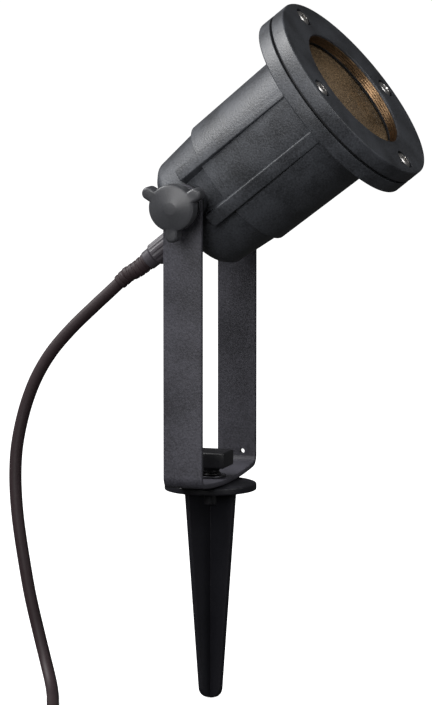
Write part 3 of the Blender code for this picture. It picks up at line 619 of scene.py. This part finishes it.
# ---- lamp head ----------------------------------------------------------------------------------
def build_housing():
    ledge_u = FLANGE_U + 0.0017
    profile = [
        (0.0, -CAVITY_U), (0.0240, -CAVITY_U), (0.0272, -CAVITY_U + 0.0035), (REAR_BORE_R, -SEAT_U),
        (BORE_R, -SEAT_U), (BORE_R, -ledge_u), (REBATE_R, -ledge_u), (REBATE_R, -FLANGE_U),
        (FLANGE_R, -FLANGE_U, 0.0004), (FLANGE_R, -FLANGE_BACK_U, 0.0008),
        (BARREL_FRONT_R, -FLANGE_BACK_U, 0.0016), (BARREL_STEP_R, -STEP_U, 0.0004),
        (REAR_STEP_R, -STEP_U, 0.0003), (REAR_END_R, -REAR_U + 0.0048, 0.0055),
        (REAR_END_R - 0.0045, -REAR_U, 0.0045), (0.0, -REAR_U),
    ]
    housing = lathe("lamp_body", profile, 160, OPTIC, closed=False, fillet_steps=7)
    tools = []
    lean = math.atan2(AXIS_DROP, BARREL_STEP_R)
    section = box((RIB_R - RIB_FOOT_R) / 2, RIB_W / 2, (RIB_R + RIB_FOOT_R) / 2)
    for side in (-1, 1):
        for spread in (-RIB_SPREAD, RIB_SPREAD):
            place = OPTIC @ Matrix.Rotation(side * (math.pi / 2 + lean) + spread, 4, 'Z')
            rib = prism("rib", section, -RIB_END_U, -FLANGE_BACK_U + 0.0012, place)
            tools.append(soften(rib, 0.0006, 3))
    for place in (NEAR, FAR):
        boss = [(0.0, 0.0302), (0.009, 0.0302), (0.009, 0.0395, 0.0005), (0.0, 0.0395)]
        tools.append(lathe("boss", boss, 64, place, closed=False))
    cut(housing, tools, 'UNION')
    cut(housing, [bore("stud_hole", 0.0043, 0.0320, 0.0420, place) for place in (NEAR, FAR)]
        + [bore("gland_hole", 0.0052, -REAR_U - 0.002, -CAVITY_U + 0.002, OPTIC, GLAND_DROP - AXIS_DROP)])
    fit(housing, COAT, "casting_coat", "head", "housing")


def build_bezel():
    profile = [(REBATE_R, -REBATE_U), (APERTURE_R, -REBATE_U, 0.0002), (APERTURE_R, 0.0, 0.0006),
               (FLANGE_R, 0.0, 0.0009), (FLANGE_R, -BEZEL_T, 0.0004), (REBATE_R, -BEZEL_T)]
    bezel = lathe("bezel_ring", profile, 192, OPTIC)
    tools = []
    for x, y in screw_spots():
        tools.append(bore("sink", COUNTERBORE_R, -COUNTERBORE_T, 0.001, OPTIC, x, y))
        tools.append(bore("shank_hole", 0.0023, -BEZEL_T - 0.001, -COUNTERBORE_T + 0.0005, OPTIC, x, y, 24))
    cut(bezel, tools)
    fit(bezel, COAT, "casting_coat", "head", "front_bezel")
    # Ridged inner wall of the aperture; its bronze colour is a painted reflection.
    ring_front, ring_back, ridge_pitch = -0.0012, -0.0058, 0.00115
    wall = [(APERTURE_R + 0.0001, ring_front)]
    for ridge in range(4):
        start = ring_front - ridge_pitch * ridge
        wall += [(APERTURE_R - 0.0002, start, 0.00008), (APERTURE_R - 0.0005, start - 0.0008, 0.00008),
                 (APERTURE_R - 0.0001, start - 0.00105)]
    wall += [(APERTURE_R + 0.0001, ring_back)]
    fit(lathe("bezel_inner_ring", wall, 160, OPTIC), RING_PAINTED_REFLECTION, "reflector_metal", "head")
    front = BEZEL_T + 0.00025
    gasket = [(REBATE_R + 0.0007, -front - 0.0008), (REBATE_R + 0.0007, -front),
              (FLANGE_R - 0.0018, -front, 0.0002), (FLANGE_R - 0.0018, -front - 0.0008, 0.0002)]
    fit(lathe("bezel_gasket", gasket, 160, OPTIC), GASKET, "gasket_rubber", "head", "flange_gasket")


def build_window():
    front, back, radius = 0.0073, 0.0103, REBATE_R - 0.0005
    pane = [(0.0, -front), (radius, -front, 0.0004), (radius, -back, 0.0003), (0.0, -back)]
    # The window pane carries a painted reflection in its bronze, streaky colour.
    fit(lathe("window", pane, 128, OPTIC, closed=False), WINDOW_PAINTED_REFLECTION, "window_glass", "head", "lens_glass")
    seal_front, seal_back = REBATE_U + 0.00025, REBATE_U + 0.00085
    seal = [(APERTURE_R + 0.0003, -seal_back), (APERTURE_R + 0.0003, -seal_front, 0.0001),
            (REBATE_R - 0.0004, -seal_front), (REBATE_R - 0.0004, -seal_back)]
    fit(lathe("window_seal", seal, 128, OPTIC), GASKET, "gasket_rubber", "head", "glass_gasket")


def build_screws():
    seat = -COUNTERBORE_T + GAP
    profile = [(0.0, seat + 0.0025), (0.0030, seat + 0.0023, 0.002), (0.0043, seat + 0.0014, 0.0007),
               (0.0043, seat, 0.0003), (0.0019, seat), (0.0019, -0.0140), (0.0, -0.0143)]
    wide, thin = 0.0027, 0.00072
    arm = [(wide, -thin * 0.8), (wide, thin * 0.8), (thin, thin)]
    quarters = [(1, 0), (0, 1), (-1, 0), (0, -1)]
    cross = [(c * x - s * y, s * x + c * y) for c, s in quarters for x, y in arm]
    for index, (x, y) in enumerate(screw_spots()):
        place = OPTIC @ Matrix.Translation((x, y, 0)) @ Matrix.Rotation(0.5 + index, 4, 'Z')
        head = lathe(f"cover_screw_{index + 1}", profile, 56, place, closed=False)
        recess = prism("recess", cross, seat - 0.0008, seat + 0.004, place)
        low = [v for v in recess.data.vertices if (place.inverted() @ v.co).z < seat]
        for vertex in low:
            local = place.inverted() @ vertex.co
            vertex.co = place @ Vector((local.x * 0.55, local.y * 0.55, local.z))
        cut(head, [recess])
        fit(head, STEEL, "screw_steel", "head", f"bezel_screw_{index + 1}", angle=28)


def facets(count, depth):
    return lambda turn, radius, height: radius * (1 - depth * abs(math.sin(turn * count / 2)))


def build_lamp():
    cone = [(0.0298, -0.0112), (0.0307, -0.0112, 0.0002), (0.0307, -0.0130), (0.0270, -0.0196),
            (0.0262, -0.0196), (0.0298, -0.0126)]
    fit(lathe("reflector", cone, 160, OPTIC), BRONZE, "reflector_metal", "head", "reflector_cone")
    shell = [(0.0236, -0.0203), (0.0250, -0.0203, 0.0003), (0.0250, -0.0230), (0.0225, -0.0320, 0.01),
             (0.0185, -0.0400, 0.01), (0.0130, -0.0457, 0.004), (0.0118, -0.0480), (0.0098, -0.0480),
             (0.0116, -0.0445, 0.004), (0.0168, -0.0385, 0.01), (0.0208, -0.0310, 0.01), (0.0232, -0.0236)]
    fit(lathe("lamp_bowl", shell, 144, OPTIC, wave=facets(24, 0.012)), MIRROR, "lamp_mirror", "head",
        "lamp_shell", angle=10)
    front = [(0.0, -0.0208), (0.0205, -0.0210, 0.004), (0.0229, -0.0218, 0.0004), (0.0229, -0.0232),
             (0.0, -0.0232)]
    fit(lathe("lamp_cover", front, 96, OPTIC, closed=False), LAMP_GLASS, "lamp_glass", "head", "lamp_front")
    for node in ("lamp_base", "lamp_holder"):
        repaint(node, CERAMIC)
    for node in ("lamp_pin_1", "lamp_pin_2"):
        repaint(node, NICKEL)
    for node in ("holder_strap", "holder_screw_1", "holder_screw_2", "near_stud", "far_stud"):
        repaint(node, ZINC)
    repaint("terminal_block", TERMINAL)
    repaint("earth_screw", BRASS)
    repaint("gland_lock_nut", GLAND)
    repaint("gland_seal", GASKET)
    repaint("lead_inner", SHEATH)
    for node, material in WIRES.items():
        repaint(node, material)


# ---- pivots -------------------------------------------------------------------------------------
def lobe_outline():
    points = []
    for k in range(3):
        middle = math.radians(-90 + 120 * k)
        out = Vector((math.cos(middle), math.sin(middle)))
        side = Vector((-out.y, out.x))
        local = [(0.0042, -LOBE_R * 1.05), (LOBE_REACH - 0.002, -LOBE_R)]
        local += [(LOBE_REACH + LOBE_R * math.cos(a), LOBE_R * math.sin(a))
                  for a in [math.radians(d) for d in range(-80, 81, 10)]]
        local += [(LOBE_REACH - 0.002, LOBE_R), (0.0042, LOBE_R * 1.05)]
        points += [tuple(out * a + side * b) for a, b in local]
    return points


def build_pivot(side, place):
    inner_face, outer_face = ARM_Y - STRIP_T / 2, ARM_Y + STRIP_T / 2
    pad = [(0.0045, 0.0398), (0.0098, 0.0398, 0.0002), (0.0098, inner_face - GAP, 0.0002),
           (0.0045, inner_face - GAP)]
    fit(lathe(f"{side}_pad", pad, 72, place), GASKET, "gasket_rubber", "head", f"{side}_friction_washer")
    low = outer_face + GAP
    washer = [(0.0045, low), (0.0096, low, 0.0003), (0.0096, low + 0.0015, 0.0003), (0.0045, low + 0.0015)]
    arm_washer = lathe(f"{side}_washer", washer, 72, place)
    fit(arm_washer, BLACK_ZINC, "washer_steel", "bracket", f"{side}_arm_washer")
    low += 0.0015 + GAP
    hub = []
    height = low
    while height < 0.0532:
        hub += [(0.0089, height, 0.0002), (0.0084, height + 0.0005, 0.0002)]
        height += 0.0011
    profile = [(0.0, low)] + hub + [
        (0.0092, 0.0540, 0.0003), (0.0110, 0.0547, 0.0008), (KNOB_R, 0.0555, 0.0008),
        (KNOB_R, 0.0623, 0.0012),
        (0.0098, 0.0629, 0.003), (0.0070, 0.0636, 0.004), (0.0030, 0.0645, 0.003), (0.0, 0.0647)]
    knob = lathe(f"{side}_handle", profile, 120, place, closed=False)
    lobes = soften(prism("lobes", lobe_outline(), 0.0542, 0.0627, place), 0.0014, 5, 50)
    cut(knob, [lobes], 'UNION')
    cut(knob, [bore("stud_bore", 0.0043, low - 0.002, 0.0570, place)])
    fit(knob, KNOB, "knob_plastic", f"{side}_knob", f"{side}_knob", angle=38)


# ---- lead entry ---------------------------------------------------------------------------------
def build_gland():
    bore_r = CORD_R + GAP
    stem = [(bore_r, 0.0088), (0.0049, 0.0088, 0.0003), (0.0049, -0.0040), (0.0059, -0.0060),
            (0.0059, -0.0147), (bore_r, -0.0147)]
    body = lathe("gland_stem", stem, 64, ENTRY)
    rear = GLAND_U - REAR_U
    flange = prism("gland_hex", circle(0.0085, 6), rear - 0.0043, rear - GAP, ENTRY)
    flange = soften(flange, 0.0007, 3)
    cut(flange, [bore("gland_core", 0.0052, rear - 0.006, rear + 0.002, ENTRY)])
    cut(body, [flange], 'UNION')
    fit(body, GLAND, "gland_plastic", "head", "gland_body")
    nut = [(0.0044, -0.0330), (0.0044, -0.0150), (0.0060, -0.0150, 0.0003), (0.0060, -0.0296, 0.0004),
           (0.0051, -0.0306, 0.0004), (0.0050, -0.0350, 0.0006), (bore_r, -0.0350), (bore_r, -0.0330)]

    def grip(turn, radius, height):
        if radius > 0.0058 and -0.0290 < height < -0.0155:
            return radius - 0.00035 * max(0.0, math.cos(12 * turn)) ** 0.5
        return radius

    steps = [(0.0060, -0.0160), (0.0060, -0.0164), (0.0060, -0.0286)]
    nut[3:3] = steps
    fit(lathe("gland_cap", nut, 144, ENTRY, wave=grip), GLAND, "gland_plastic", "head", "gland_nut")


def entry_point(depth, drop=0.0):
    return ENTRY @ Vector((drop, 0, -depth))


MOUTH = Vector((-0.0478, 0, 0.1012))
OUTWARD = (MOUTH - Vector((0, 0, PIVOT_Z))).normalized()


def build_boot():
    stops = [entry_point(0.0332), entry_point(0.041), MOUTH - OUTWARD * 0.006,
             MOUTH - OUTWARD * 0.004, MOUTH]
    line = smooth_path(stops, 0.0004)
    last = len(line) - 1
    outer = []
    for i in range(last + 1):
        share = i / last
        radius = 0.0047 + (0.00375 - 0.0047) * share
        if share > 0.12:
            radius -= 0.00028 * (math.sin(share * 2 * math.pi * 7) > 0.55)
        outer.append(radius)
    outer[0] = outer[1] = CORD_R + 0.0011
    outer[-1] = 0.0036
    boot = tube("boot", line, outer, 40)
    bored = [line[0] - (line[1] - line[0])] + line + [line[-1] + (line[-1] - line[-2])]
    cut(boot, [tube("boot_bore", bored, [CORD_R + GAP] * len(bored), 32)])
    fit(boot, SHEATH, "sheath_rubber", "head", "cord_sleeve")


# ---- lead, coil, tie and plug --------------------------------------------------------------------
def hanging_stops():
    """The lead from the boot's mouth down to the ground and round to the coil."""
    hang = [(-0.0605, 0.0, 0.0894), (-0.0730, 0.0, 0.0774), (-0.0836, 0.0, 0.0653),
            (-0.0914, 0.0, 0.0529), (-0.0967, 0.0, 0.0405), (-0.1002, -0.0005, 0.0280),
            (-0.1024, -0.0012, 0.0150), (-0.1029, -0.0020, 0.0020), (-0.1021, -0.0030, -0.0110),
            (-0.1004, -0.0040, -0.0240), (-0.0974, -0.0050, -0.0410), (-0.0938, -0.0058, -0.0590),
            (-0.0893, -0.0066, -0.0765), (-0.0844, -0.0100, -0.0903), (-0.0782, -0.0195, -0.0998)]
    ground = [(-0.0724, -0.0330), (-0.0663, -0.0500), (-0.0595, -0.0690), (-0.0550, -0.0830),
              (-0.0560, -0.0975), (-0.0633, -0.1089), (-0.0737, -0.1154), (-0.0843, -0.1172),
              (-0.0980, -0.1173), (-0.1117, -0.1173), (-0.1235, -0.1173)]
    low = FLOOR_Z + CORD_R
    start = [MOUTH - OUTWARD * 0.0036, MOUTH, MOUTH + OUTWARD * 0.0060]
    return start + [Vector(p) for p in hang] + [Vector((x, y, low)) for x, y in ground]


def coil_points():
    """Four layers of two turns: in along the ground, out above it, in again and out again."""
    outer, inner, rise = COIL_R + 2 * CORD_R, COIL_R - 2 * CORD_R, 2 * CORD_R
    turns = [0.0, 2.0, 4.1, 6.2, 8.25]
    radii = [outer, inner, outer, inner, outer]
    points = []
    for step in range(0, round(8.25 * 120) + 1):
        tau = step / 120
        radius = np.interp(tau, turns, radii)
        layer = sum(smooth_step((tau - change + 0.1) / 0.2) for change in turns[1:4])
        turn = -math.pi / 2 - 2 * math.pi * tau
        points.append(Vector((COIL_X + radius * math.cos(turn), COIL_Y + radius * math.sin(turn),
                              FLOOR_Z + CORD_R + rise * layer)))
    return points


def smooth_step(t):
    t = min(max(t, 0.0), 1.0)
    return t * t * (3 - 2 * t)


def build_cord():
    tail = [(PLUG_X, COIL_Y + 0.009, FLOOR_Z + 0.0219), (PLUG_X, PLUG_Y - 0.0150, FLOOR_Z + 0.0208),
            (PLUG_X, PLUG_Y - 0.0066, FLOOR_Z + 0.0192), (PLUG_X, PLUG_Y - 0.0033, FLOOR_Z + 0.0187),
            (PLUG_X, PLUG_Y + 0.0012, FLOOR_Z + PLUG_R)]
    first = smooth_path(hanging_stops(), 0.002)
    wound = coil_points()
    line = even(first + wound + smooth_path([wound[-1]] + [Vector(p) for p in tail], 0.002)[1:], 0.0024)
    length = sum((b - a).length for a, b in zip(line, line[1:]))
    cord = tube("supply_lead", line, [CORD_R] * len(line), 20)
    shade(cord, 60)
    dress(cord, SHEATH)
    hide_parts("power_cord", "cord_coil", "cord_tail")
    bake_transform(cord)
    return cord, length, line


def tie_outline(grow):
    half_w, half_h, cut_in = 3 * CORD_R + grow, COIL_H / 2 + grow, 0.0028
    right = []
    for sx, sy, start in ((1, -1, -90), (1, 1, 0)):
        for k in range(6):
            a = math.radians(start + 18 * k)
            right.append((sx * (half_w - cut_in) + cut_in * math.cos(a),
                          sy * (half_h - cut_in) + cut_in * math.sin(a)))
    return right + [(-x, -y) for x, y in right]


def build_tie():
    middle = Matrix.Translation((COIL_X + COIL_R * math.cos(TIE_TURN), COIL_Y + COIL_R * math.sin(TIE_TURN),
                                 FLOOR_Z + COIL_H / 2))
    place = middle @ Matrix.Rotation(TIE_TURN, 4, 'Z') @ turn_about('X', 90)
    band = soften(prism("tie", tie_outline(0.0009), -0.0022, 0.0022, place), 0.0002, 2, 60)
    cut(band, [prism("tie_inside", tie_outline(0.00005), -0.006, 0.006, place)])
    top = place @ Matrix.Translation((0.001, COIL_H / 2 + 0.0002, 0))
    lock = soften(prism("tie_lock", box(0.0030, 0.0024), 0.0, 0.0044, top @ turn_about('X', -90)), 0.0006, 3)
    tail = soften(prism("tie_end", box(0.0009, 0.0020), 0.0, 0.0100, top @ turn_about('X', -90)), 0.0003, 2)
    fit(join("cable_tie", [band, lock, tail]), TIE, "tie_plastic", "bracket", "cord_tie")


def build_plug():
    place = Matrix.Translation((PLUG_X, PLUG_Y, FLOOR_Z + PLUG_R)) @ turn_about('X', -90)
    neck = []
    for k in range(6):
        z = 0.0008 + 0.0026 * k
        neck += [(0.0044 + 0.00030 * k, z, 0.0003), (0.0046 + 0.00030 * k, z + 0.0015, 0.0003),
                 (0.0039 + 0.00030 * k, z + 0.0017, 0.0002), (0.0039 + 0.00032 * k, z + 0.0024, 0.0002)]
    profile = [(0.0, 0.0), (0.0043, 0.0, 0.0003)] + neck
    profile += [(0.0080, 0.0180, 0.002), (0.0150, 0.0270, 0.006), (PLUG_R, 0.0390, 0.004),
                (PLUG_R, 0.0555, 0.002), (0.0165, 0.0595, 0.001), (0.0158, 0.0600, 0.0006),
                (0.0148, 0.0594, 0.0004), (0.0, 0.0594)]

    def grip(turn, radius, height):
        if 0.0280 < height < 0.0545 and radius > 0.014:
            return radius - 0.0005 * (math.cos(turn * 2) > -0.55) * (0.5 + 0.5 * math.cos(turn * 44))
        return radius

    shell = lathe("plug_shell", profile, 176, place, closed=False, wave=grip)
    pin_out, clip_out = 0.0095, 0.0159
    tools = []
    for side in (-1, 1):
        tools.append(prism("clip_slot", box(0.0025, 0.0030, 0.0, side * 0.0175), 0.0440, 0.0620, place))
        tools.append(bore("pin_hole", 0.0026, 0.0540, 0.0620, place, side * pin_out))
    cut(shell, tools)
    fit(shell, PLUG, "plug_rubber", "bracket", "plug_body")
    for index, side in enumerate((-1, 1)):
        pin = [(0.0, 0.0790), (0.0012, 0.0790, 0.0008), (0.0023, 0.0772, 0.001), (0.0023, 0.0544),
               (0.0, 0.0544)]
        obj = lathe(f"contact_pin_{index + 1}", pin, 40, place @ Matrix.Translation((side * pin_out, 0, 0)),
                    closed=False)
        fit(obj, NICKEL, "pin_nickel", "bracket", f"plug_pin_{index + 1}")
        strip = box(0.0021, 0.0007, 0.0, side * clip_out)
        clip = soften(prism(f"earth_contact_{index + 1}", strip, 0.0444, 0.0590, place), 0.0003, 3)
        fit(clip, BRASS, "brass_contact", "bracket", f"plug_earth_clip_{index + 1}")


# ---- floor, world and lights ----------------------------------------------------------------------
def build_stage():
    reach, low = 20.0, FLOOR_Z - 0.00002
    floor = new_object("floor", [(-reach, -reach, low), (reach, -reach, low), (reach, reach, low),
                                 (-reach, reach, low)], [[0, 1, 2, 3]])
    paper = surface("pale_paper", (0.55, 0.55, 0.55), 0.9, spread=0.01, grain=400, relief=0.00001, cloud=2,
                    Specular_IOR_Level=0.1, Emission_Color=(1, 1, 1, 1), Emission_Strength=1.0)
    floor.data.materials.append(paper)
    floor.visible_diffuse = False
    floor.visible_glossy = False


WORLD_LIGHT = 0.045


def build_world():
    world = bpy.data.worlds.new("studio")
    bpy.context.scene.world = world
    world.use_nodes = True
    tree = world.node_tree
    back = tree.nodes["Background"]
    seen = tree.nodes.new("ShaderNodeLightPath").outputs["Is Camera Ray"]
    glow = tree.nodes.new("ShaderNodeMapRange")
    glow.inputs["To Min"].default_value = WORLD_LIGHT
    glow.inputs["To Max"].default_value = 1.0
    tree.links.new(seen, glow.inputs["Value"])
    tree.links.new(glow.outputs["Result"], back.inputs["Strength"])
    back.inputs["Color"].default_value = (1.0, 1.0, 1.0, 1.0)


def area_light(name, toward, size, power, distance=1.6, color=(1, 1, 1)):
    data = bpy.data.lights.new(name, 'AREA')
    data.shape = 'DISK'
    data.size = size
    data.energy = power
    data.color = color
    light = bpy.data.objects.new(name, data)
    bpy.context.scene.collection.objects.link(light)
    centre = Vector((0, 0, 0.09))
    light.location = centre + Vector(toward).normalized() * distance
    light.rotation_euler = (light.location - centre).to_track_quat('Z', 'Y').to_euler()
    return light


# name: (right, up and towards the camera; diameter; power)
LIGHTS = {
    "key": ((-0.75, 0.85, 0.45), 0.9, 10.5),
    "front": ((-0.35, 0.25, 1.0), 0.8, 14.5),
    "rim": ((-0.75, 0.75, -0.20), 0.6, 22.0),
    "side": ((0.9, 0.75, 0.45), 0.7, 7.5),
    "low": ((0.7, -0.1, 0.7), 0.5, 1.2),
}


def build_lights():
    """Each light's direction is to the right, up and towards the camera."""
    for name, ((across, up, near), size, power) in LIGHTS.items():
        toward = to_right * across + Vector((0, 0, up)) + to_camera * near
        area_light(name, toward, size, power)


bpy.context.scene.view_settings.view_transform = 'Standard'
build_camera()
cord, cord_length, cord_line = build_cord()
build_tie()
build_plug()
build_spike()
build_bracket()
build_clamp()
build_housing()
build_bezel()
build_window()
build_screws()
build_lamp()
build_pivot("near", NEAR)
build_pivot("far", FAR)
build_gland()
build_boot()
build_stage()
build_world()
build_lights()
